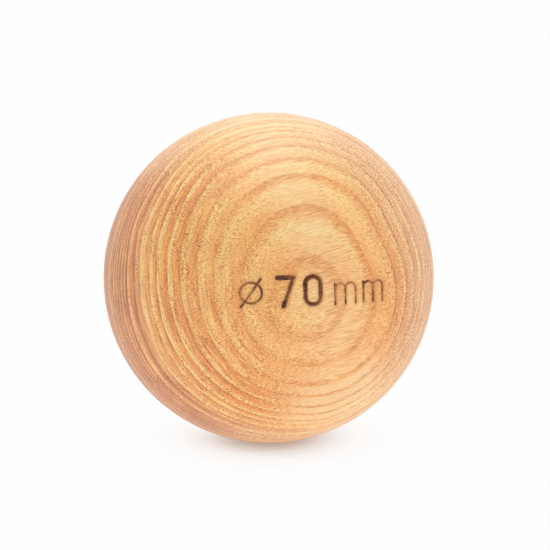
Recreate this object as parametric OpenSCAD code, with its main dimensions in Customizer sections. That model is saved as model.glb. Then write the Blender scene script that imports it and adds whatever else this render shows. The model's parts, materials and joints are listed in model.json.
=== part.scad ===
// Turned wooden ball, such as one used for rolling out a stiff back or foot.
// One solid piece of ring-porous hardwood, sanded smooth, with its diameter burnt
// into the side that faces forward. The origin is the centre of the ball, +Z is up
// and the mark faces -Y.

/* [Ball] */
// Diameter of the finished ball
ball_d = 70; // [50:1:99]

/* [Burnt size mark] */
// How far the middle of the mark looks up from level, in degrees
mark_rise = 7.5; // [-60:0.5:60]
// How far the burnt floor lies under the ball's surface
mark_depth = 0.3; // [0.1:0.05:1.5]

/* [Figures] */
// Height of the figures
figure_h = 6.8; // [4:0.1:9]
// Width of one figure
figure_w = 4.3; // [3:0.1:6]
// Width of the lines that the figures are drawn with
figure_line = 1.15; // [0.5:0.05:1.4]

/* [Diameter sign and unit] */
// Outer diameter of the ring of the diameter sign
sign_d = 4.8; // [3:0.1:7]
// Length of the slash through the ring, from end to end
slash_l = 7.4; // [6:0.1:10]
// Height of the two letters of the unit
letter_h = 4.8; // [3.5:0.1:7]
// Width of one letter of the unit
letter_w = 5.2; // [4.5:0.1:9]
// Width of the lines of the sign and of the unit
letter_line = 0.65; // [0.4:0.05:0.9]

/* [Spacing] */
// Gap between two figures, or between the two letters
glyph_gap = 1.15; // [0.6:0.05:3]
// Gap on each side of the figures
word_gap = 2.2; // [1.5:0.1:5]

/* [Hidden] */
$fn = 96;

ball_r = ball_d / 2;
// The two figures of the diameter, in whole millimetres
tens = floor(ball_d / 10);
units = floor(ball_d) % 10;
// How far the cutting solid stands proud of the ball
proud = 1;
// Slope of the slash in the diameter sign
slash_angle = 55;

// Half width and height of a figure, measured on the middle of its line
half_w = (figure_w - figure_line) / 2;
mid_h = figure_h - figure_line;
// Half width and height of a letter, measured the same way
letter_half_w = (letter_w - letter_line) / 2;
letter_mid_h = letter_h - letter_line;

sign_w = max(sign_d, slash_l * cos(slash_angle));
mark_w = sign_w + word_gap + 2 * figure_w + glyph_gap + word_gap + 2 * letter_w + glyph_gap;

function polar(r, angle) = r * [cos(angle), sin(angle)];

// A straight line with round ends, from p to q
module stroke(p, q, line) {
    run = q - p;
    translate(p) rotate(atan2(run.y, run.x)) {
        translate([0, -line / 2]) square([norm(run), line]);
        circle(d = line);
        translate([norm(run), 0]) circle(d = line);
    }
}

// A full ring whose line has its middle at radius r
module ring(centre, r, line)
    translate(centre) difference() {
        circle(r = r + line / 2);
        circle(r = r - line / 2);
    }

// The part of such a ring that lies between two angles, with round ends
module bow(centre, r, from, to, line) {
    steps = 6;
    reach = 2 * (r + line);
    wedge = [for (i = [0:steps]) polar(reach, from + (to - from) * i / steps)];
    translate(centre) {
        intersection() {
            ring([0, 0], r, line);
            polygon(concat([[0, 0]], wedge));
        }
        for (angle = [from, to]) translate(polar(r, angle)) circle(d = line);
    }
}

// One figure from 0 to 9, standing on y = 0 with its middle on x = 0
module figure(n) {
    w = half_w;
    h = mid_h;
    line = figure_line;
    low = [0, w];
    high = [0, h - w];
    quarter = h / 4;
    translate([0, line / 2]) {
        if (n == 0) {
            bow(high, w, 0, 180, line);
            bow(low, w, 180, 360, line);
            for (side = [-w, w]) stroke([side, w], [side, h - w], line);
        }
        if (n == 1) {
            stroke([w / 2, 0], [w / 2, h], line);
            stroke([w / 2, h], [-w, h - w], line);
        }
        if (n == 2) {
            bow(high, w, -30, 180, line);
            stroke(high + polar(w, -30), [-w, 0], line);
            stroke([-w, 0], [w, 0], line);
        }
        if (n == 3) {
            bow([0, 3 * quarter], quarter, -90, 160, line);
            bow([0, quarter], quarter, -160, 90, line);
        }
        if (n == 4) {
            stroke([w / 2, 0], [w / 2, h], line);
            stroke([w / 2, h], [-w, quarter], line);
            stroke([-w, quarter], [w, quarter], line);
        }
        if (n == 5) {
            bow(low, w, -150, 90, line);
            stroke([0, 2 * w], [-w, 2 * w], line);
            stroke([-w, 2 * w], [-w, h], line);
            stroke([-w, h], [w, h], line);
        }
        if (n == 6 || n == 9)
            translate([0, h / 2]) rotate(n == 9 ? 180 : 0) translate([0, -h / 2]) {
                ring(low, w, line);
                stroke([-w, w], [-w, h - w], line);
                bow(high, w, 40, 180, line);
            }
        if (n == 7) {
            stroke([-w, h], [w, h], line);
            stroke([w, h], [-w / 3, 0], line);
        }
        if (n == 8)
            for (y = [quarter, 3 * quarter]) ring([0, y], quarter, line);
    }
}

// The letter m: a stem, and two arches that each end in a leg
module letter_m() {
    arch_r = letter_half_w / 2;
    spring = letter_mid_h - arch_r;
    translate([0, letter_line / 2]) {
        stroke([-letter_half_w, 0], [-letter_half_w, letter_mid_h], letter_line);
        for (x = [-arch_r, arch_r]) {
            bow([x, spring], arch_r, 0, 180, letter_line);
            stroke([x + arch_r, 0], [x + arch_r, spring], letter_line);
        }
    }
}

// A ring crossed by a slash, centred on the height of the figures
module diameter_sign()
    translate([0, figure_h / 2]) {
        reach = (slash_l - letter_line) / 2;
        ring([0, 0], (sign_d - letter_line) / 2, letter_line);
        stroke(polar(reach, 180 + slash_angle), polar(reach, slash_angle), letter_line);
    }

// The whole mark, flat, centred on the origin
module mark_outline() {
    figures_x = -mark_w / 2 + sign_w + word_gap;
    unit_x = figures_x + 2 * figure_w + glyph_gap + word_gap;
    translate([0, -figure_h / 2]) {
        translate([-mark_w / 2 + sign_w / 2, 0]) diameter_sign();
        translate([figures_x + figure_w / 2, 0]) figure(tens);
        translate([figures_x + 1.5 * figure_w + glyph_gap, 0]) figure(units);
        for (i = [0, 1])
            translate([unit_x + letter_w / 2 + i * (letter_w + glyph_gap), 0]) letter_m();
    }
}

// What the burning takes away: the mark, from outside down to the curved floor
module burnt_recess()
    difference() {
        rotate([90 - mark_rise, 0, 0]) linear_extrude(height = ball_r + proud) mark_outline();
        sphere(r = ball_r - mark_depth);
    }

// The turned ball with the mark burnt into it
module ball()
    color("#e3ad6e") difference() {
        sphere(r = ball_r);
        burnt_recess();
    }

ball();
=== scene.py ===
# %% [markdown]
# # A turned wooden ball
#
# This lesson dresses one part: a solid ball of ash, 70 mm across, turned on a lathe, sanded and
# rubbed with a little oil. Its size is burnt into one side as shallow figures. A ball has almost
# no shape to hide behind, so nearly all of the work is in the wood: growth rings that run through
# the whole ball, pores that are dots on the end grain and dashes on the side grain, and the way
# the burning bites deeper into soft wood than into hard.
#
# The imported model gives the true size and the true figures, and everything here is measured
# from it.

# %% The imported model
import json
import math
from types import SimpleNamespace

import bpy
import numpy as np
from mathutils import Color, Matrix, Vector
from mathutils.kdtree import KDTree

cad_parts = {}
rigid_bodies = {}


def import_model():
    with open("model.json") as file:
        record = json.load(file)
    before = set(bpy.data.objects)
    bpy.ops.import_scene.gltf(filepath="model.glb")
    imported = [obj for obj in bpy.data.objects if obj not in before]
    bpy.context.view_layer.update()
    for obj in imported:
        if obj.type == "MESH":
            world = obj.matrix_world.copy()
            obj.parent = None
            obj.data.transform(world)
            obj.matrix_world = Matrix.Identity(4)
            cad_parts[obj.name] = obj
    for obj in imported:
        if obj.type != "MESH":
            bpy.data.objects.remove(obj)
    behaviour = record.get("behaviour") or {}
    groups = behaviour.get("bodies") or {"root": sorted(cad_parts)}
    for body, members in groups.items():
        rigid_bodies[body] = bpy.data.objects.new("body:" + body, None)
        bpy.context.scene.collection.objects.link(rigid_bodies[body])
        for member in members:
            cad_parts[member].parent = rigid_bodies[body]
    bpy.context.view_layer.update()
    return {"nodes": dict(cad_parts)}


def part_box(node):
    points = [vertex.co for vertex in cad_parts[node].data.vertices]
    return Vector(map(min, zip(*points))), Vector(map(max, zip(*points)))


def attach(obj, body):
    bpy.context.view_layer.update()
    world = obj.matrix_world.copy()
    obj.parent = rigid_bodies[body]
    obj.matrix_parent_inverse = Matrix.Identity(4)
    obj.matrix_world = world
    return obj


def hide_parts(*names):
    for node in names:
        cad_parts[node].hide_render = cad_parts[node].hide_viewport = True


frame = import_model()
MM = 0.001
cad_ball = frame["nodes"]["ball"]
ball_low, ball_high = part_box("ball")
BALL_R = (ball_high.z - ball_low.z) / 2
print("The ball's radius is", round(BALL_R / MM, 2), "mm")

# %% [markdown]
# ## The camera
#
# The photograph was taken from a good way off with a long lens, so the outline of the ball is
# almost a perfect circle. The mark looks straight ahead, along -Y and a little upwards, and the
# camera stands 16 degrees to its left and 12 degrees above level. It aims a little beside the
# ball's centre, because the ball sits a little left of the middle of the picture.

# %% Camera
CAMERA_TURN = math.radians(-16)
CAMERA_RISE = math.radians(12)
CAMERA_DISTANCE = 14.84 * BALL_R
LENS = 160
AIM_RIGHT = 1.34 * MM
AIM_UP = 0.56 * MM


def direction(turn, rise):
    """The way that looks turn round from -Y towards +X, and rise up from level."""
    level = math.cos(rise)
    return Vector((math.sin(turn) * level, -math.cos(turn) * level, math.sin(rise)))


towards_camera = direction(CAMERA_TURN, CAMERA_RISE)
camera_right = Vector((math.cos(CAMERA_TURN), math.sin(CAMERA_TURN), 0))
camera_up = towards_camera.cross(camera_right)
aim = camera_right * AIM_RIGHT + camera_up * AIM_UP

bpy.ops.object.select_all(action="DESELECT")
bpy.ops.object.camera_add(location=aim + towards_camera * CAMERA_DISTANCE)
camera = bpy.context.object
camera.name = "camera"
camera.rotation_euler = towards_camera.to_track_quat("Z", "Y").to_euler()
camera.data.lens = LENS
camera.data.clip_start = 0.01
camera.data.clip_end = 20
bpy.context.scene.camera = camera
print("The camera stands", round(CAMERA_DISTANCE, 3), "m from the ball")

# %% [markdown]
# ## Nodes with less typing
#
# A material is a tree of nodes. A few small helpers keep the cells below short. They add a node,
# join a value or another node to a socket, do a sum, make a soft step between 0 and 1, and blend
# two colours. Each gives back the socket that holds its result, so one can be put inside another.

# %% Node helpers
MIX_A = 6
MIX_B = 7
MIX_RESULT = 2


def add_node(tree, kind, **settings):
    node = tree.nodes.new(kind)
    for name, value in settings.items():
        setattr(node, name, value)
    return node


def join(tree, source, socket):
    if isinstance(source, bpy.types.NodeSocket):
        tree.links.new(source, socket)
    else:
        socket.default_value = source


def calc(tree, operation, *values):
    node = add_node(tree, "ShaderNodeMath", operation=operation)
    for value, socket in zip(values, node.inputs):
        join(tree, value, socket)
    return node.outputs[0]


def product(tree, first, *others):
    for other in others:
        first = calc(tree, "MULTIPLY", first, other)
    return first


def total(tree, first, *others):
    for other in others:
        first = calc(tree, "ADD", first, other)
    return first


def scaled(tree, value, factor, base):
    return calc(tree, "MULTIPLY_ADD", value, factor, base)


def ease(tree, value, start, end):
    """0 up to start and 1 from end on, with a soft slope between them."""
    node = add_node(tree, "ShaderNodeMapRange", interpolation_type="SMOOTHSTEP")
    join(tree, value, node.inputs["Value"])
    join(tree, start, node.inputs["From Min"])
    join(tree, end, node.inputs["From Max"])
    return node.outputs[0]


print("The helpers for sums are ready")

# %% Colour and pattern helpers
def blend(tree, share, first, second, way="MIX"):
    node = add_node(tree, "ShaderNodeMix", data_type="RGBA", blend_type=way)
    join(tree, share, node.inputs[0])
    join(tree, first, node.inputs[MIX_A])
    join(tree, second, node.inputs[MIX_B])
    return node.outputs[MIX_RESULT]


def paint(code):
    """A colour as it is written on screen, such as "e3ad6e", turned into linear light."""
    levels = [int(code[i : i + 2], 16) / 255 for i in (0, 2, 4)]
    return (*Color(levels).from_srgb_to_scene_linear(), 1)


def ramp(tree, value, stops):
    node = add_node(tree, "ShaderNodeValToRGB")
    join(tree, value, node.inputs[0])
    elements = node.color_ramp.elements
    while len(elements) < len(stops):
        elements.new(0.5)
    for element, (place, code) in zip(elements, stops):
        element.position = place
        element.color = paint(code)
    return node.outputs[0]


def noise(tree, place, scale, detail):
    node = add_node(tree, "ShaderNodeTexNoise")
    join(tree, place, node.inputs["Vector"])
    node.inputs["Scale"].default_value = scale
    node.inputs["Detail"].default_value = detail
    return node.outputs[0]


def kept_value(tree, name):
    """A number that was worked out for each vertex and kept as an attribute."""
    return add_node(tree, "ShaderNodeAttribute", attribute_name=name).outputs["Fac"]


def new_material(name):
    material = bpy.data.materials.new(name)
    material.use_nodes = True
    material.node_tree.nodes.clear()
    return material, material.node_tree


print("The helpers for colours and patterns are ready")

# %% [markdown]
# ## The ball's mesh
#
# A ball could be a UV sphere, but that pinches the mesh at two poles. A cube is better: each
# round of subdivision splits its faces in four and rounds it, and a Cast modifier then puts every
# vertex on the true radius. The result is an even net of squares with no poles.

# %% A cube becomes a ball
ROUNDS = 6


def apply_modifier(piece, modifier):
    bpy.context.view_layer.objects.active = piece
    bpy.ops.object.modifier_apply(modifier=modifier.name)


def cast_to_sphere(piece):
    cast = piece.modifiers.new("true_round", "CAST")
    cast.cast_type = "SPHERE"
    cast.factor = 1
    cast.radius = 0
    cast.use_radius_as_size = False
    cast.size = BALL_R
    apply_modifier(piece, cast)


bpy.ops.object.select_all(action="DESELECT")
bpy.ops.mesh.primitive_cube_add(size=2 * BALL_R, location=(0, 0, 0))
ball = bpy.context.object
ball.name = "turned_ball"
rounding = ball.modifiers.new("rounding", "SUBSURF")
rounding.levels = ROUNDS
rounding.render_levels = ROUNDS
apply_modifier(ball, rounding)
cast_to_sphere(ball)
print("The ball has", len(ball.data.polygons), "faces")

# %% [markdown]
# ## A finer net where the mark is burnt
#
# The burnt lines are about a millimetre wide and only 0.3 mm deep, so the net has to be much
# finer there. The faces of the strip in front are picked by their place and cut into four each
# way, and the Cast modifier rounds the new vertices.

# %% The strip in front
STRIP_HALF_WIDTH = 18 * MM
STRIP_LOW = -1 * MM
STRIP_HIGH = 10 * MM
STRIP_CUTS = 3


def cut_finer(piece, wanted, cuts, grow=0):
    """Cuts the faces that wanted picks, and grow rows of faces around them."""
    bpy.ops.object.select_all(action="DESELECT")
    piece.select_set(True)
    bpy.context.view_layer.objects.active = piece
    bpy.ops.object.mode_set(mode="EDIT")
    bpy.ops.mesh.select_mode(type="FACE")
    bpy.ops.mesh.select_all(action="DESELECT")
    bpy.ops.object.mode_set(mode="OBJECT")
    for face in piece.data.polygons:
        face.select = wanted(face)
    bpy.ops.object.mode_set(mode="EDIT")
    for _ in range(grow):
        bpy.ops.mesh.select_more()
    bpy.ops.mesh.subdivide(number_cuts=cuts)
    bpy.ops.object.mode_set(mode="OBJECT")
    cast_to_sphere(piece)


def in_strip(face):
    x, y, z = face.center
    return y < 0 and abs(x) < STRIP_HALF_WIDTH and STRIP_LOW < z < STRIP_HIGH


cut_finer(ball, in_strip, STRIP_CUTS)
print("With the strip cut finer it has", len(ball.data.polygons), "faces")

# %% [markdown]
# ## Finding and sinking the burnt lines
#
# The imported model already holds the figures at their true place. A Vertex Weight Proximity
# modifier measures how far each vertex of the plain ball is from that model: nothing on the bare
# wood, and more and more towards the middle of a burnt line. The weights find the faces to cut
# finer once more, and then a Displace modifier sinks the lines by their weights. Because the
# weight rises over a tenth of a millimetre, the walls come out a little soft, as burning
# leaves them.

# %% Burnt lines
BURN_DEPTH = 0.3 * MM
WALL_TOP = 0.03 * MM
WALL_FOOT = 0.15 * MM
LINE_CUTS = 2
LINE_ROWS = 2


def weigh_burnt_lines(piece):
    group = piece.vertex_groups.get("burnt") or piece.vertex_groups.new(name="burnt")
    group.add(range(len(piece.data.vertices)), 0, "REPLACE")
    gauge = piece.modifiers.new("depth_gauge", "VERTEX_WEIGHT_PROXIMITY")
    gauge.vertex_group = group.name
    gauge.target = cad_ball
    gauge.proximity_mode = "GEOMETRY"
    gauge.proximity_geometry = {"FACE"}
    gauge.min_dist = WALL_TOP
    gauge.max_dist = WALL_FOOT
    apply_modifier(piece, gauge)
    return [vertex.groups[0].weight for vertex in piece.data.vertices]


weights = weigh_burnt_lines(ball)
cut_finer(ball, lambda face: any(weights[v] > 0 for v in face.vertices), LINE_CUTS, LINE_ROWS)
weights = weigh_burnt_lines(ball)

sink = ball.modifiers.new("sink", "DISPLACE")
sink.direction = "NORMAL"
sink.mid_level = 0
sink.strength = -BURN_DEPTH
sink.vertex_group = "burnt"
apply_modifier(ball, sink)
bpy.ops.object.shade_smooth()
triangles = sum(len(face.vertices) - 2 for face in ball.data.polygons)
print("Now it has", triangles, "triangles, and", sum(w > 0 for w in weights), "burnt vertices")

# %% [markdown]
# ## How the ball lay in the log
#
# The ball was cut with the bark side towards the mark, which is why the rings close into loops
# around it, like the height lines round a hill on a map. Each ring is nearly a cylinder round the
# pith, the centre of the tree, which lies behind the ball. A real ring is never quite true: the
# trunk tapers, it bends, and here and there it swells a little, and the fibres lean against the
# rings. The slow waves are worked out once for each vertex and kept as an attribute, so that the
# material only has to look up how deep in the log a point lies. A Wave or Noise texture would
# give rings as well, but not these ones.

# %% Ring depth
BARK_TURN = math.radians(-11)
BARK_RISE = math.radians(-3)
RING_SLOPE = math.radians(36)
PITH_BEHIND = 75
# Each wave: its power along the rings and across them, and its height as a share of the radius
TAPER = (1, 0, 0.22)
BEND = (2, 0, 0.05)
DROOP = (4, 0, 0.15)
TWIST = (2, 1, 0.2)
LEAN = (1, 2, 0.1)
WINDING = (0, 3, 0.12)
# Each swelling: its place along the rings and across them, its height and its width
MIDDLE_HILL = (0, 0, 1.0, 9)
RIGHT_HOLLOW = (28, 0, -1.0, 9)
LOW_HILL = (-8, -28, 1.0, 6)
HIGH_HILL = (-14, 28, 0.5, 5)


def ring_axes():
    """Along the rings, across them and towards the bark."""
    bark = direction(BARK_TURN, BARK_RISE)
    level = Vector((0, 0, 1)).cross(bark).normalized()
    upward = bark.cross(level)
    along = level * math.cos(RING_SLOPE) + upward * math.sin(RING_SLOPE)
    return along, bark.cross(along), bark


def ring_depth(points):
    """How far out from the ball's centre the rings have each point, in millimetres."""
    along, across, outward = (points @ np.array(axis) for axis in ring_axes())
    depth = np.hypot(outward + PITH_BEHIND, across) - PITH_BEHIND
    radius = BALL_R / MM
    for by_length, by_width, height in (TAPER, BEND, DROOP, TWIST, LEAN, WINDING):
        depth += height * radius * (along / radius) ** by_length * (across / radius) ** by_width
    for length, width, height, spread in (MIDDLE_HILL, RIGHT_HOLLOW, LOW_HILL, HIGH_HILL):
        away = (along - length) ** 2 + (across - width) ** 2
        depth += height * np.exp(-away / spread**2)
    return depth


def keep_attribute(name, values):
    attribute = ball.data.attributes.new(name, "FLOAT", "POINT")
    attribute.data.foreach_set("value", np.array(values, dtype=np.float32))


points = np.array([vertex.co for vertex in ball.data.vertices]) / MM
depths = ring_depth(points)
keep_attribute("ring_depth", depths)
print("Rings from", round(depths.min(), 1), "to", round(depths.max(), 1), "mm")

# %% [markdown]
# ## How far the heat reached
#
# A hot stamp chars the wood in the middle of a wide line, browns it in a thin one, and leaves a
# faint scorch beside both. One number per vertex is enough for all three: how far it lies inside
# the nearest edge of the lines, counted negative on bare wood. A k-d tree finds the nearest
# vertex on the other side of that edge.

# %% Reach of the heat
HEAT_LIMIT = 2.0
# The edge of a line is where the weight passes this
EDGE_WEIGHT = 0.5


def nearest_finder(indices):
    finder = KDTree(len(indices))
    for index in indices:
        finder.insert(ball.data.vertices[index].co, index)
    finder.balance()
    return finder


burnt = [i for i, weight in enumerate(weights) if weight > EDGE_WEIGHT]
bare = [i for i, weight in enumerate(weights) if weight <= EDGE_WEIGHT]
nearest_burnt, nearest_bare = nearest_finder(burnt), nearest_finder(bare)
reach = np.full(len(weights), -HEAT_LIMIT)
for i in burnt:
    reach[i] = nearest_bare.find(ball.data.vertices[i].co)[2] / MM
for i in bare:
    away = nearest_burnt.find(ball.data.vertices[i].co)[2] / MM
    reach[i] = max(-away, -HEAT_LIMIT)
keep_attribute("heat_reach", reach)
print("The widest line is", round(2 * reach.max(), 2), "mm wide")

# %% [markdown]
# ## An even map for the surface
#
# Exported models paint their patterns on a flat map. Each side of the old cube gets a cell of its
# own, and a point's place in its cell follows its angle on the ball, so that no part of the ball
# is much more stretched than another.

# %% Surface map
CELLS_ACROSS = 3
CELLS_UP = 2
CELL_MARGIN = 0.004


def cube_side(normal):
    """Which of the six sides a direction belongs to, and the two axes that span it."""
    longest = max(range(3), key=lambda axis: abs(normal[axis]))
    return longest, (longest + 1) % 3, (longest + 2) % 3


def map_place(corner, centre):
    main, first, second = cube_side(centre)
    positive = centre[main] > 0
    cell = 2 * main + positive
    reach = abs(corner[main])
    u = 0.5 + math.atan(corner[first] / reach) / (math.pi / 2)
    v = 0.5 + math.atan(corner[second] / reach) / (math.pi / 2)
    if not positive:
        u = 1 - u
    left, low = (cell % CELLS_ACROSS) / CELLS_ACROSS, (cell // CELLS_ACROSS) / CELLS_UP
    room_u, room_v = 1 / CELLS_ACROSS - 2 * CELL_MARGIN, 1 / CELLS_UP - 2 * CELL_MARGIN
    return left + CELL_MARGIN + u * room_u, low + CELL_MARGIN + v * room_v


surface_map = ball.data.uv_layers[0]
surface_map.name = "OFBake"
for face in ball.data.polygons:
    for corner in face.loop_indices:
        vertex = ball.data.vertices[ball.data.loops[corner].vertex_index]
        surface_map.data[corner].uv = map_place(vertex.co, face.center)
print("The surface map has", len(surface_map.data), "corners")

# %% [markdown]
# ## The growth rings
#
# Ash is ring-porous. Each spring it grows a band of wide pores, and then, until autumn, denser
# wood with hardly any. The list below gives the widths of the rings from the bark side inwards,
# and a curve turns depth into a count of rings: the whole part of the count says which ring a
# point is in, and the rest how far through its year. The rings further in show only near the
# rim and on the back, so their widths are guessed and simply repeat.

# %% Ring widths
OUTER_RING = 35.5
RING_WIDTHS = [2, 2.25, 1.75, 2, 1.75, 1.75, 1.25, 2, 1.25, 2, 1, 1, 1]
INNER_WIDTHS = [1.0, 1.2, 0.9, 1.4, 1.1, 0.8, 1.3]
# The curve takes depths from minus to plus half of this, and gives counts up to RINGS_SPAN
DEPTH_SPAN = 80
RINGS_SPAN = 60
# Outside the outermost ring that shows, every ring is this wide
BARK_RING = 2
CURVE_START = -0.01


def ring_edges():
    """(depth, count) at each ring's start, from the pith side outwards."""
    starts = [OUTER_RING]
    for width in RING_WIDTHS:
        starts.append(starts[-1] - width)
    while starts[-1] > 2 * max(INNER_WIDTHS) - DEPTH_SPAN / 2:
        starts.append(starts[-1] - INNER_WIDTHS[len(starts) % len(INNER_WIDTHS)])
    starts.reverse()
    return [(start, count) for count, start in enumerate(starts)]


edges = ring_edges()
print("There are", len(edges), "rings")


def ring_count(tree, depth):
    curve = add_node(tree, "ShaderNodeFloatCurve")
    line = curve.mapping.curves[0]
    for edge, count in edges:
        point = line.points.new(edge / DEPTH_SPAN + 0.5, count / RINGS_SPAN)
        point.handle_type = "VECTOR"
    line.points[0].location = (0, CURVE_START)
    last_edge, last_count = edges[-1]
    beyond = (DEPTH_SPAN / 2 - last_edge) / BARK_RING
    line.points[-1].location = (1, (last_count + beyond) / RINGS_SPAN)
    curve.mapping.update()
    join(tree, scaled(tree, depth, 1 / DEPTH_SPAN, 0.5), curve.inputs["Value"])
    return product(tree, curve.outputs[0], RINGS_SPAN)


# %% [markdown]
# ## Fibres
#
# Wood is a bundle of tubes. A noise that is stretched along them gives dots where the surface
# cuts them across and long dashes where it runs beside them, with no need to know which is
# which, so the same few textures dress the end grain and the side grain. The Mapping node turns
# the ball's own coordinates into millimetres along the fibres, up across them and forwards.

# %% A place among the fibres
FIBRE_TURN = math.radians(8)
FIBRE_RISE = math.radians(10)


def fibre_axes():
    """Along the fibres, which run to the right, backwards and up; across them; and forwards."""
    level = math.cos(FIBRE_RISE)
    right, back = math.cos(FIBRE_TURN) * level, math.sin(FIBRE_TURN) * level
    along = Vector((right, back, math.sin(FIBRE_RISE)))
    forward = Vector((0, 0, 1)).cross(along).normalized() * -1
    return along, forward.cross(along), forward


def plank_place(tree):
    here = add_node(tree, "ShaderNodeTexCoord").outputs["Object"]
    turned = add_node(tree, "ShaderNodeMapping")
    join(tree, here, turned.inputs["Vector"])
    turned.inputs["Rotation"].default_value = Matrix(fibre_axes()).to_euler()
    turned.inputs["Scale"].default_value = (1 / MM, 1 / MM, 1 / MM)
    return turned.outputs[0]


def plank_axis(tree, place, axis):
    split = add_node(tree, "ShaderNodeSeparateXYZ")
    join(tree, place, split.inputs[0])
    return split.outputs[axis]


def end_facing(tree, plank):
    """-1 and 1 where the surface cuts straight across the fibres, 0 where it runs along them."""
    outward = add_node(tree, "ShaderNodeVectorMath", operation="NORMALIZE")
    join(tree, plank, outward.inputs[0])
    return plank_axis(tree, outward.outputs[0], "X")


print("The fibres rise", round(math.degrees(FIBRE_RISE), 1), "degrees towards the right")

# %% [markdown]
# ## Streaks, specks, pores and threads
#
# Three noises follow the fibres: soft streaks, fine specks, and pores that are short and wide.
# A fourth makes thin threads along the rings, like the rows in which the pores stand. It is laid
# out on ring depth across the threads and on the plank along them. Wave textures could draw
# lines too, but they repeat, and wood never does.

# %% Grain patterns
# Each blotch: its length along the fibres, its width across them and its finer detail
STREAK = (8, 0.3, 2)
SPECK = (3, 0.17, 1)
PORE_SIZE = (2.2, 0.3, 1)
THREAD_WIDTH = 0.32
THREAD_LENGTH = 5


def fibre_noise(tree, plank, length, width, detail):
    """Noise whose blotches are so long along the fibres and so wide across them."""
    stretch = add_node(tree, "ShaderNodeVectorMath", operation="MULTIPLY")
    join(tree, plank, stretch.inputs[0])
    stretch.inputs[1].default_value = (1 / length, 1 / width, 1 / width)
    return noise(tree, stretch.outputs[0], 1, detail)


def thread_noise(tree, plank, depth):
    place = add_node(tree, "ShaderNodeCombineXYZ")
    join(tree, product(tree, depth, 1 / THREAD_WIDTH), place.inputs["X"])
    along = product(tree, plank_axis(tree, plank, "X"), 1 / THREAD_LENGTH)
    upward = product(tree, plank_axis(tree, plank, "Y"), 1 / THREAD_LENGTH)
    join(tree, along, place.inputs["Y"])
    join(tree, upward, place.inputs["Z"])
    return noise(tree, place.outputs[0], 1, 1)


def centred(tree, value, reach):
    """Noise moved to lie about 0, and scaled."""
    return scaled(tree, value, 2 * reach, -reach)


print("A streak is about", STREAK[0], "mm long and a speck about", SPECK[0], "mm")

# %% [markdown]
# ## What the material knows of a place
#
# All facts about a point are worked out once and kept together, so that the cells after this one
# can use them by name: how high up it is, how squarely the surface cuts the fibres there, which
# ring it is in and how far through its year. The streaks shift the rings a little, because real
# ring lines are ragged along the fibres. Some places run through their year faster than others,
# so that a band of pores is now wide and now narrow, but the last days of the year stay sharp.
#
# Two numbers in brackets are either the two ends of a soft step, for ease, or a factor and
# what is added after it, for scaled.

# %% Facts about a place
PATCH = 11
RAGGED = 0.14
SPRING = (0.35, 0.1)
POROUS = (0.8, 0.2)
PACE_PATCH = 7
SLOWEST_PACE = 0.5
LAST_DAYS = (12, -11)


def look_up(tree):
    at = SimpleNamespace()
    at.plank = plank_place(tree)
    at.height = plank_axis(tree, at.plank, "Y")
    at.facing = end_facing(tree, at.plank)
    at.depth = kept_value(tree, "ring_depth")
    at.streaks = fibre_noise(tree, at.plank, *STREAK)
    at.specks = fibre_noise(tree, at.plank, *SPECK)
    at.pores = fibre_noise(tree, at.plank, *PORE_SIZE)
    at.threads = thread_noise(tree, at.plank, at.depth)
    at.patches = noise(tree, at.plank, 1 / PATCH, 2)
    at.ragged_depth = total(tree, at.depth, centred(tree, at.streaks, RAGGED))
    return at


def find_ring(tree, at):
    """Adds the ring's own random number, the year and its seasons to what is known."""
    count = ring_count(tree, at.ragged_depth)
    by_ring = add_node(tree, "ShaderNodeTexWhiteNoise", noise_dimensions="1D")
    join(tree, calc(tree, "FLOOR", count), by_ring.inputs["W"])
    at.by_ring = by_ring.outputs[0]
    at.year = calc(tree, "FRACT", count)
    at.spring = ease(tree, at.year, *SPRING)
    at.porous = ease(tree, at.year, *POROUS)
    pace = scaled(tree, noise(tree, at.plank, 1 / PACE_PATCH, 1), 1, SLOWEST_PACE)
    at.season = calc(tree, "MAXIMUM", product(tree, at.year, pace), scaled(tree, at.year, *LAST_DAYS))


print("Ring lines wander by", RAGGED, "mm")

# %% [markdown]
# ## End grain and side grain
#
# On the end grain a ring is a light band of pores that turns to orange. On the side grain it is
# the other way round: the pores are cut lengthwise and look dark, and the dense wood after them
# is light. The ball shows end grain at its left and right, and side grain in a wide belt between
# them, over the top and round the back. The left end is the stronger one, the outermost, widest
# rings are the faintest, and no two rings are alike.

# %% Shares of end grain
LEFT_CUT = (-0.14, -0.52)
RIGHT_CUT = (0.2, 0.5)
RIGHT_STRENGTH = 0.8
OUTER_RINGS = (27, 31)
OUTER_LOSS = 0.5
RING_SPREAD = (0.4, 0.7)
LEFT_END = (-0.3, -0.65)


def find_ends(tree, at):
    at.left_cut = ease(tree, at.facing, *LEFT_CUT)
    at.right_cut = ease(tree, at.facing, *RIGHT_CUT)
    at.left_end = ease(tree, at.facing, *LEFT_END)
    kept_share = scaled(tree, ease(tree, at.depth, *OUTER_RINGS), -OUTER_LOSS, 1)
    left_share = product(tree, at.left_cut, kept_share)
    share = calc(tree, "MAXIMUM", left_share, product(tree, at.right_cut, RIGHT_STRENGTH))
    at.end_share = product(tree, share, scaled(tree, at.by_ring, *RING_SPREAD))
    at.side_share = calc(tree, "SUBTRACT", 1, at.end_share)


print("The outermost rings keep", 1 - OUTER_LOSS, "of their end grain")

# %% [markdown]
# ## A year's colours
#
# A Color Ramp holds the colours of one year, from its first day to its last. There are three: one
# for the end grain, one for the side grain, and one for the brown heart of the tree, which starts
# at one ring and shows at the left end only. The side grain's colours fade into their mean
# towards the foot of the ball.

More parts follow.
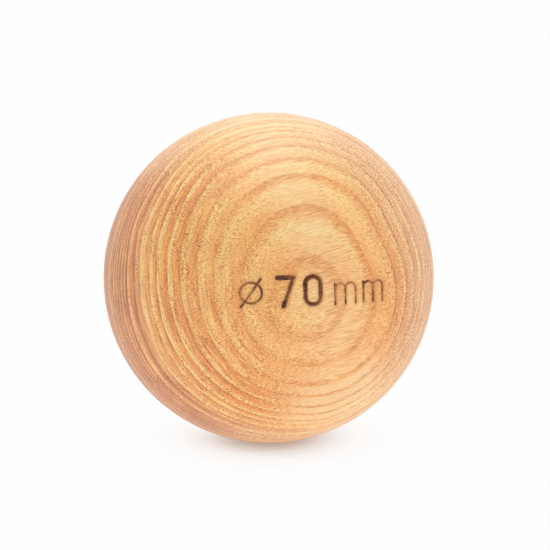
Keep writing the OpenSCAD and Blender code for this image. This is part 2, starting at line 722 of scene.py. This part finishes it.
# %% Colours through the year
END_YEAR = [
    (0.0, "f2b364"),
    (0.1, "fccd84"),
    (0.26, "fcc172"),
    (0.42, "f2a554"),
    (0.62, "e89746"),
    (1.0, "dc873c"),
]
SIDE_YEAR = [
    (0.0, "ec9c4e"),
    (0.12, "eea154"),
    (0.28, "f8b468"),
    (0.42, "ffca7f"),
    (0.6, "fdc175"),
    (0.85, "fbbc6e"),
    (1.0, "f5af63"),
]
SIDE_MEAN = paint("f7b567")
HEART_YEAR = [
    (0.0, "ba7840"),
    (0.08, "e69a58"),
    (0.3, "eea86a"),
    (0.6, "ce8446"),
    (0.9, "c4783c"),
    (1.0, "ac683a"),
]
FADING_HEIGHT = (-8, 12)
FOOT_CONTRAST = 0.45
HEART_DEPTH = (20.3, 19.8)
HEART_SHOWS = (-0.4, -0.75)


def year_colour(tree, at):
    upper = ease(tree, at.height, *FADING_HEIGHT)
    contrast = scaled(tree, upper, 1 - FOOT_CONTRAST, FOOT_CONTRAST)
    side = blend(tree, contrast, SIDE_MEAN, ramp(tree, at.season, SIDE_YEAR))
    return blend(tree, at.end_share, side, ramp(tree, at.season, END_YEAR))


def with_heart(tree, at, sap):
    inside = ease(tree, at.ragged_depth, *HEART_DEPTH)
    share = product(tree, inside, ease(tree, at.facing, *HEART_SHOWS))
    return blend(tree, share, sap, ramp(tree, at.season, HEART_YEAR))


print("A year has", len(END_YEAR), "colours on the end grain")

# %% [markdown]
# ## Paler parts, a painted reflection and a warmer belt
#
# Towards the right end the colour turns paler. This is a painted reflection: the white light round
# the ball, caught where the surface turns away. Deep in the log, towards the back, the colour is
# paler too, and a belt round the mark is a little more orange. Such parts could be painted on by
# hand, but soft steps on direction and depth follow the wood, and need no image.

# %% Paler parts, painted reflection and warmer belt
# A pale colour, used deep in the log and for the painted reflection on the right end
PALE_AND_RIM_REFLECTION = paint("f2d0a6")
PALE_AND_REFLECTION_STRENGTH = 0.38
RIM_REFLECTION_FACING = (-0.1, 0.4)
RIM_REFLECTION_DEPTH = (32, 28)
PALE_BACK = (24, 15)
WARMER = (1, 0.94, 0.91, 1)
BELT_OUTSIDE = (25, 29)
BELT_INSIDE = (34.5, 32.5)
BELT_TO_RIGHT = (-0.05, 0.2)
BELT_TOP = (16, 4)
BELT_FOOT = (-22, -12)


def with_pale_back_and_rim_reflection(tree, at, colour):
    # Painted reflection on the right end, and a paler colour deep in the log
    right = product(tree, ease(tree, at.facing, *RIM_REFLECTION_FACING), ease(tree, at.depth, *RIM_REFLECTION_DEPTH))
    pale_and_reflected = calc(tree, "MAXIMUM", right, ease(tree, at.depth, *PALE_BACK))
    return blend(tree, product(tree, pale_and_reflected, PALE_AND_REFLECTION_STRENGTH), colour, PALE_AND_RIM_REFLECTION)


def with_warm_belt(tree, at, colour):
    inner, to_right = ease(tree, at.depth, *BELT_INSIDE), ease(tree, at.facing, *BELT_TO_RIGHT)
    belt = product(
        tree,
        ease(tree, at.depth, *BELT_OUTSIDE),
        calc(tree, "MAXIMUM", inner, to_right),
        ease(tree, at.height, *BELT_TOP),
        ease(tree, at.height, *BELT_FOOT),
    )
    return blend(tree, belt, colour, WARMER, way="MULTIPLY")


print("The pale parts take", PALE_AND_REFLECTION_STRENGTH, "of the pale colour")

# %% [markdown]
# ## Light and dark
#
# Tone is a single number that is added up from many small causes, and only then changes the
# colour: each ring has its own, slow patches drift over the ball, and streaks and threads run
# along it. Painted shade makes the foot and the right a little darker, and painted light makes
# the middle and the upper front a little lighter. The crowded rings near the heart differ most
# from one another. Each cause could mix in a colour of its own, but then the last one would hide
# the others; sums keep them all.

# %% Tone of a part
RING_TONE = (0.2, 0.04)
CROWDED = (28, 18)
PATCH_TONE = 0.16
STREAK_TONE = 0.2
THREAD_TONE = 0.7
RIGHT_THREADS = (0.3, 0.65)
RIGHT_THREAD_SHARE = 0.7
# Painted shade on the foot and the right, and painted light on the middle and the upper front
PAINTED_SHADE = 0.12
FOOT = (4, -12)
FOOT_DEPTH = (24, 29)
RIGHT_SIDE = (0, 0.35)
RIGHT_TOP = (16, 2)
PAINTED_LIGHT = 0.055
UPPER_FRONT = (0, 12)
UPPER_DEPTH = (28, 31)
MIDDLE_DEPTH = (32, 34.5)


def grain_tone(tree, at):
    unlike = scaled(tree, ease(tree, at.depth, *CROWDED), *RING_TONE)
    by_ring = product(tree, centred(tree, at.by_ring, 1), unlike)
    right = product(tree, ease(tree, at.facing, *RIGHT_THREADS), RIGHT_THREAD_SHARE)
    threaded = calc(tree, "MAXIMUM", at.left_end, right)
    threads = product(tree, centred(tree, at.threads, THREAD_TONE), threaded)
    patches = centred(tree, at.patches, PATCH_TONE)
    return total(tree, by_ring, patches, centred(tree, at.streaks, STREAK_TONE), threads)


# Painted shade darkens the foot and the right; painted light lifts the middle and the upper front
def painted_light_and_shade_tone(tree, at):
    shaded_foot = product(tree, ease(tree, at.height, *FOOT), ease(tree, at.depth, *FOOT_DEPTH))
    right = product(tree, ease(tree, at.facing, *RIGHT_SIDE), ease(tree, at.height, *RIGHT_TOP))
    shade = product(tree, calc(tree, "MAXIMUM", shaded_foot, right), -PAINTED_SHADE)
    upper = product(tree, ease(tree, at.height, *UPPER_FRONT), ease(tree, at.depth, *UPPER_DEPTH))
    light = calc(tree, "MAXIMUM", upper, ease(tree, at.depth, *MIDDLE_DEPTH))
    return total(tree, shade, product(tree, light, PAINTED_LIGHT))


print("Threads change the tone by up to", THREAD_TONE)

# %% [markdown]
# ## Lines between the years
#
# The last cells of autumn and the first of spring meet in a thin dark line on the end grain. It
# is stronger in the inner rings and strongest at the right end, where a second line runs through
# the middle of each year. As stops of the ramps, the lines would be equally strong everywhere,
# so they are worked out apart. A few rings just outside the heart are lighter than the rest.

# %% Tone of the year lines
YEAR_ENDS = (0.9, 1)
YEAR_STARTS = (0.07, 0)
MIDSUMMER = 0.55
MIDSUMMER_WIDTH = (0.1, 0)
RIM_FACING = (0.3, 0.6)
RIM_DEPTH = (28, 24)
INNER_RINGS = (26, 20)
LEFT_LINE = (0.2, 0.12)
RIGHT_LINE = 0.5
LIGHT_RING_INSIDE = (20.2, 21)
LIGHT_RING_OUTSIDE = (24.5, 22)
LIGHT_RING = (0.15, 0.1)


def line_tone(tree, at):
    ends, starts = ease(tree, at.year, *YEAR_ENDS), ease(tree, at.year, *YEAR_STARTS)
    from_midsummer = calc(tree, "ABSOLUTE", calc(tree, "SUBTRACT", at.year, MIDSUMMER))
    rim = product(tree, ease(tree, at.facing, *RIM_FACING), ease(tree, at.depth, *RIM_DEPTH))
    second = product(tree, ease(tree, from_midsummer, *MIDSUMMER_WIDTH), rim)
    line = calc(tree, "MAXIMUM", calc(tree, "MAXIMUM", ends, starts), second)
    left = product(tree, at.left_cut, scaled(tree, ease(tree, at.depth, *INNER_RINGS), *LEFT_LINE))
    strength = calc(tree, "MAXIMUM", left, product(tree, at.right_cut, RIGHT_LINE))
    return product(tree, line, strength, -1)


def light_ring_tone(tree, at):
    inside = ease(tree, at.depth, *LIGHT_RING_INSIDE)
    outside = ease(tree, at.depth, *LIGHT_RING_OUTSIDE)
    return product(tree, inside, outside, scaled(tree, at.side_share, *LIGHT_RING))


print("A line takes up", round(1 - YEAR_ENDS[0] + YEAR_STARTS[0], 2), "of a year")

# %% [markdown]
# ## Flecks
#
# Specks and dots of pores are the finest marks. They are strongest on the end grain and in the
# porous part of the year. A place that gets darker gets redder too, as oiled wood does, and one
# that gets lighter stops at a pale yellow.

# %% Flecks
DOTS = 0.5
SPECKS_ON_END = 0.9
SPECKS_IN_PORES = (0.4, 0.8)
SPECKS_LEFT = 0.2
DARK_IS_RED = (0.55, 1, 1.4)
BRIGHTEST = (1, 0.79, 0.47)


def fleck_tone(tree, at):
    dots = product(tree, centred(tree, at.pores, DOTS), at.end_share, at.porous)
    strength = scaled(tree, at.end_share, SPECKS_ON_END, scaled(tree, at.porous, *SPECKS_IN_PORES))
    strength = scaled(tree, at.left_end, SPECKS_LEFT, strength)
    return total(tree, dots, product(tree, centred(tree, at.specks, 1), strength))


def vector_calc(tree, operation, *values):
    node = add_node(tree, "ShaderNodeVectorMath", operation=operation)
    for value, socket in zip(values, node.inputs):
        join(tree, value, socket)
    return node.outputs[0]


def toned(tree, colour, tone):
    factor = vector_calc(tree, "MULTIPLY_ADD", tone, DARK_IS_RED, (1, 1, 1))
    changed = vector_calc(tree, "MULTIPLY", colour, factor)
    return vector_calc(tree, "MINIMUM", changed, BRIGHTEST)


print("The brightest wood is", BRIGHTEST)

# %% [markdown]
# ## Painted shine and open pores
#
# Where the surface runs along the fibres, they shine like silk and look almost white, in streaks
# and most of all in the dense late wood. The same happens low down, in a wider zone. Both are
# painted light: a sheen in the shader would turn the rims milky, so the shine is painted into the
# colour. On the side grain the pores of spring are open grooves, and they are painted last,
# because they lie below the shining surface.

# %% Painted shine and pores
# Painted shine: a whitish colour where the fibres lie along the surface, and low down
PAINTED_SHINE = paint("ffe3b2")
SILK_SHIFT = 0.04
SILK_FACING = (0.28, 0)
SHINE_STRENGTH = 0.48
SILK_STREAKS = (0.35, 0.7)
STREAK_SHARE = (0.7, 0.3)
SILK_PATCHES = (0.35, 0.65)
PATCH_SHARE = (0.3, 0.7)
LATE_WOOD = (0.15, 0.5)
LATE_SHARE = (0.5, 0.7)
LOW_SHINE_STRENGTH = 0.5
LOW_HEIGHT = (-6, -18)
LOW_FROM_LEFT = (-0.45, -0.15)
LOW_FROM_RIGHT = (0.4, 0.1)
LOW_DEPTH = (20, 25)
LOW_LATE_WOOD = (0.1, 0.35)
PORE = paint("d4863c")
PORE_STRENGTH = 0.5
PORE_EDGE = (0.5, 0.62)


# Painted shine, as a share of the whitish colour
def painted_shine_share(tree, at):
    tilt = calc(tree, "ABSOLUTE", total(tree, at.facing, SILK_SHIFT))
    sheen = product(
        tree,
        ease(tree, tilt, *SILK_FACING),
        scaled(tree, ease(tree, at.streaks, *SILK_STREAKS), *STREAK_SHARE),
        scaled(tree, ease(tree, at.patches, *SILK_PATCHES), *PATCH_SHARE),
        scaled(tree, ease(tree, at.season, *LATE_WOOD), *LATE_SHARE),
        SHINE_STRENGTH,
    )
    low = product(
        tree,
        ease(tree, at.height, *LOW_HEIGHT),
        ease(tree, at.facing, *LOW_FROM_LEFT),
        ease(tree, at.facing, *LOW_FROM_RIGHT),
        ease(tree, at.depth, *LOW_DEPTH),
        ease(tree, at.season, *LOW_LATE_WOOD),
        LOW_SHINE_STRENGTH,
    )
    return calc(tree, "MAXIMUM", sheen, low)


def open_pore(tree, at):
    return product(tree, ease(tree, at.pores, *PORE_EDGE), at.spring, at.side_share)


print("Silk hides up to", round(SHINE_STRENGTH * sum(LATE_SHARE), 2), "of the colour under it")

# %% [markdown]
# ## Burnt lines in the wood
#
# One dark colour inside the lines would look printed. There are three layers instead, from the
# wide and faint to the narrow and dark: a scorched rim, toasted brown and black char. The stamp
# didn't press evenly, so thin lines fade in places, and the soft wood of spring burns a little
# more readily. The middle of a wide line is always well burnt.

# %% Burning
SCORCH = paint("b57d49")
TOAST = paint("90532f")
CHAR = paint("482418")
HEAT_RAGGED = 0.2
SCORCH_REACH = (-0.8, 0.05)
SCORCH_STRENGTH = 0.35
PRESSURE_PATCH = 3.2
PRESSED = (0.4, 0.62)
CHAR_REACH = (0.08, 0.4)
CHAR_BY_PRESSURE = (0.6, 0.4)
BURN_EDGE = (-0.03, 0.06)
BURN_BY_PRESSURE = 0.7
BURN_IN_SPRING = (0.15, 0.16)
LINE_MIDDLE = (0.15, 0.4)
BURN_RAGGED = 0.45
LEAST_BURN = 0.15


def burning(tree, at):
    """How scorched, how burnt and how charred a place is."""
    reach = kept_value(tree, "heat_reach")
    uneven = total(tree, reach, centred(tree, at.specks, HEAT_RAGGED))
    pressed = ease(tree, noise(tree, at.plank, 1 / PRESSURE_PATCH, 1), *PRESSED)
    firm = scaled(tree, pressed, BURN_BY_PRESSURE, scaled(tree, at.spring, *BURN_IN_SPRING))
    firm = calc(tree, "MAXIMUM", firm, ease(tree, reach, *LINE_MIDDLE))
    firm = total(tree, firm, centred(tree, at.pores, BURN_RAGGED))
    firm = calc(tree, "MAXIMUM", calc(tree, "MINIMUM", firm, 1), LEAST_BURN)
    scorched = product(tree, ease(tree, uneven, *SCORCH_REACH), SCORCH_STRENGTH)
    burnt = product(tree, ease(tree, uneven, *BURN_EDGE), firm)
    by_pressure = scaled(tree, pressed, *CHAR_BY_PRESSURE)
    charred = product(tree, ease(tree, uneven, *CHAR_REACH), by_pressure)
    return scorched, burnt, charred


print("Heat shows up to", -SCORCH_REACH[0], "mm beside a line")

# %% [markdown]
# ## The oiled ash
#
# The material puts the parts together. The surface is dull with a thin coat of oil, which the
# burnt lines have lost, because a coat over them would make the black look grey. Specks and
# pores give it a fine relief.

# %% Oiled ash
ROUGHNESS = 0.55
PORE_ROUGHNESS = 0.15
BURNT_ROUGHNESS = 0.35
OIL = 0.75
OIL_ROUGHNESS = 0.5
RELIEF_STRENGTH = 0.5
RELIEF_DEPTH = 0.04 * MM
SPECK_RELIEF = 0.5


def wood_colour(tree, at, pore):
    # The paler parts include a painted reflection on the right end
    colour = with_pale_back_and_rim_reflection(tree, at, year_colour(tree, at))
    colour = with_warm_belt(tree, at, with_heart(tree, at, colour))
    # The broad tone holds the grain's own tone, and painted light and shade
    broad = total(tree, grain_tone(tree, at), painted_light_and_shade_tone(tree, at))
    fine = total(tree, line_tone(tree, at), light_ring_tone(tree, at), fleck_tone(tree, at))
    wood = toned(tree, colour, total(tree, broad, fine))
    # Painted shine over the wood
    wood = blend(tree, painted_shine_share(tree, at), wood, PAINTED_SHINE)
    return blend(tree, product(tree, pore, PORE_STRENGTH), wood, PORE)


def wood_relief(tree, at, pore):
    relief = add_node(tree, "ShaderNodeBump")
    relief.inputs["Strength"].default_value = RELIEF_STRENGTH
    relief.inputs["Distance"].default_value = RELIEF_DEPTH
    height = calc(tree, "SUBTRACT", centred(tree, at.specks, SPECK_RELIEF), pore)
    join(tree, height, relief.inputs["Height"])
    return relief.outputs[0]


def oiled_ash():
    material, tree = new_material("oiled_ash")
    at = look_up(tree)
    find_ring(tree, at)
    find_ends(tree, at)
    pore = open_pore(tree, at)
    scorched, burnt, charred = burning(tree, at)
    wood = blend(tree, scorched, wood_colour(tree, at, pore), SCORCH)
    wood = blend(tree, burnt, wood, blend(tree, charred, TOAST, CHAR))

    shader = add_node(tree, "ShaderNodeBsdfPrincipled")
    join(tree, wood, shader.inputs["Base Color"])
    dull = scaled(tree, burnt, BURNT_ROUGHNESS, scaled(tree, pore, PORE_ROUGHNESS, ROUGHNESS))
    join(tree, dull, shader.inputs["Roughness"])
    join(tree, scaled(tree, burnt, -OIL, OIL), shader.inputs["Coat Weight"])
    shader.inputs["Coat Roughness"].default_value = OIL_ROUGHNESS
    join(tree, wood_relief(tree, at, pore), shader.inputs["Normal"])
    out = add_node(tree, "ShaderNodeOutputMaterial")
    join(tree, shader.outputs[0], out.inputs["Surface"])
    return material


ball.data.materials.append(oiled_ash())
print("The wood has", len(ball.data.materials[0].node_tree.nodes), "nodes")

# %% [markdown]
# ## Paper
#
# The ball lies on white paper, which glows a little, as on a light table, so that the underside
# isn't lost in the dark. What the camera sees of the paper is white, and darker only where the
# ball hides most of the sky: the Ambient Occlusion node measures that, and a ramp gives the
# shadow its tone.

# %% Floor
FLOOR_SIZE = 3.0
PAPER = 0.85
PAPER_GLOW = 0.4
SHADOW_REACH = 0.3
SHADOW_SAMPLES = 16
SHADOW_TONES = [
    (0.0, "b09384"),
    (0.07, "c9afa2"),
    (0.11, "dccabe"),
    (0.155, "ece0d9"),
    (0.2, "f5eeea"),
    (0.27, "fbf6f4"),
    (0.4, "fdfcfb"),
    (0.6, "fefefe"),
]
bpy.ops.object.select_all(action="DESELECT")
bpy.ops.mesh.primitive_plane_add(size=FLOOR_SIZE, location=(0, 0, -BALL_R))
floor = bpy.context.object
floor.name = "floor"
print("The paper lies", round(BALL_R / MM, 1), "mm below the ball's centre")

# %% Paper material
def seen_share(tree):
    """1 where the camera looks, directly or in a reflection, and 0 for light that only bounces."""
    path = add_node(tree, "ShaderNodeLightPath")
    return calc(tree, "MAXIMUM", path.outputs["Is Camera Ray"], path.outputs["Is Glossy Ray"])


def lit_paper(tree):
    diffuse = add_node(tree, "ShaderNodeBsdfDiffuse")
    diffuse.inputs["Color"].default_value = (PAPER, PAPER, PAPER, 1)
    glow = add_node(tree, "ShaderNodeEmission")
    glow.inputs["Strength"].default_value = PAPER_GLOW
    lit = add_node(tree, "ShaderNodeAddShader")
    join(tree, diffuse.outputs[0], lit.inputs[0])
    join(tree, glow.outputs[0], lit.inputs[1])
    return lit.outputs[0]


def shown_paper(tree):
    open_sky = add_node(tree, "ShaderNodeAmbientOcclusion", samples=SHADOW_SAMPLES)
    open_sky.inputs["Distance"].default_value = SHADOW_REACH
    shown = add_node(tree, "ShaderNodeEmission")
    join(tree, ramp(tree, open_sky.outputs["AO"], SHADOW_TONES), shown.inputs["Color"])
    return shown.outputs[0]


def paper_material():
    material, tree = new_material("white_paper")
    either = add_node(tree, "ShaderNodeMixShader")
    join(tree, seen_share(tree), either.inputs[0])
    join(tree, lit_paper(tree), either.inputs[1])
    join(tree, shown_paper(tree), either.inputs[2])
    out = add_node(tree, "ShaderNodeOutputMaterial")
    join(tree, either.outputs[0], out.inputs["Surface"])
    return material


floor.data.materials.append(paper_material())
print("The shadow has", len(SHADOW_TONES), "tones")

# %% [markdown]
# ## Light
#
# An even light comes from all round, as in a white tent. A wide lamp high above the ball gives
# its top a soft light, a weak one behind it brightens the upper edge, and a weak one in front
# lifts the right side. The world looks brighter than it shines, so that the background is white
# while the wood keeps its colour.

# %% World and lamps
WORLD_LIGHT = 0.575
WORLD_SEEN = 0.99
# Each lamp: its name, its place and its width in metres, and its power in watts
LAMPS = [
    ("high_above", (0.0, 0.17, 0.78), 0.9, 3.5),
    ("low_behind", (0.26, 0.6, 0.44), 0.5, 0.3),
    ("right_front", (0.6, -0.55, 0.3), 0.6, 0.5),
]
world = bpy.data.worlds.new("studio")
bpy.context.scene.world = world
world.use_nodes = True
world.node_tree.nodes.clear()
sky = add_node(world.node_tree, "ShaderNodeBackground")
sky.inputs["Color"].default_value = (1, 1, 1, 1)
seen = seen_share(world.node_tree)
strength = scaled(world.node_tree, seen, WORLD_SEEN - WORLD_LIGHT, WORLD_LIGHT)
join(world.node_tree, strength, sky.inputs["Strength"])
out = add_node(world.node_tree, "ShaderNodeOutputWorld")
join(world.node_tree, sky.outputs[0], out.inputs["Surface"])


def add_lamp(name, place, width, power):
    """A round lamp that looks at the ball."""
    bpy.ops.object.light_add(type="AREA", location=place)
    light = bpy.context.object
    light.name = name
    light.data.shape = "DISK"
    light.data.size = width
    light.data.energy = power
    light.rotation_euler = Vector(place).to_track_quat("Z", "Y").to_euler()


for lamp in LAMPS:
    add_lamp(*lamp)
bpy.context.scene.view_settings.view_transform = "Standard"
print(len(LAMPS), "lamps and an even light from all round")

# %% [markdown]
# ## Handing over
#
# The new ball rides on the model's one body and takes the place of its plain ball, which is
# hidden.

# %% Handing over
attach(ball, "root")
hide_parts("ball")
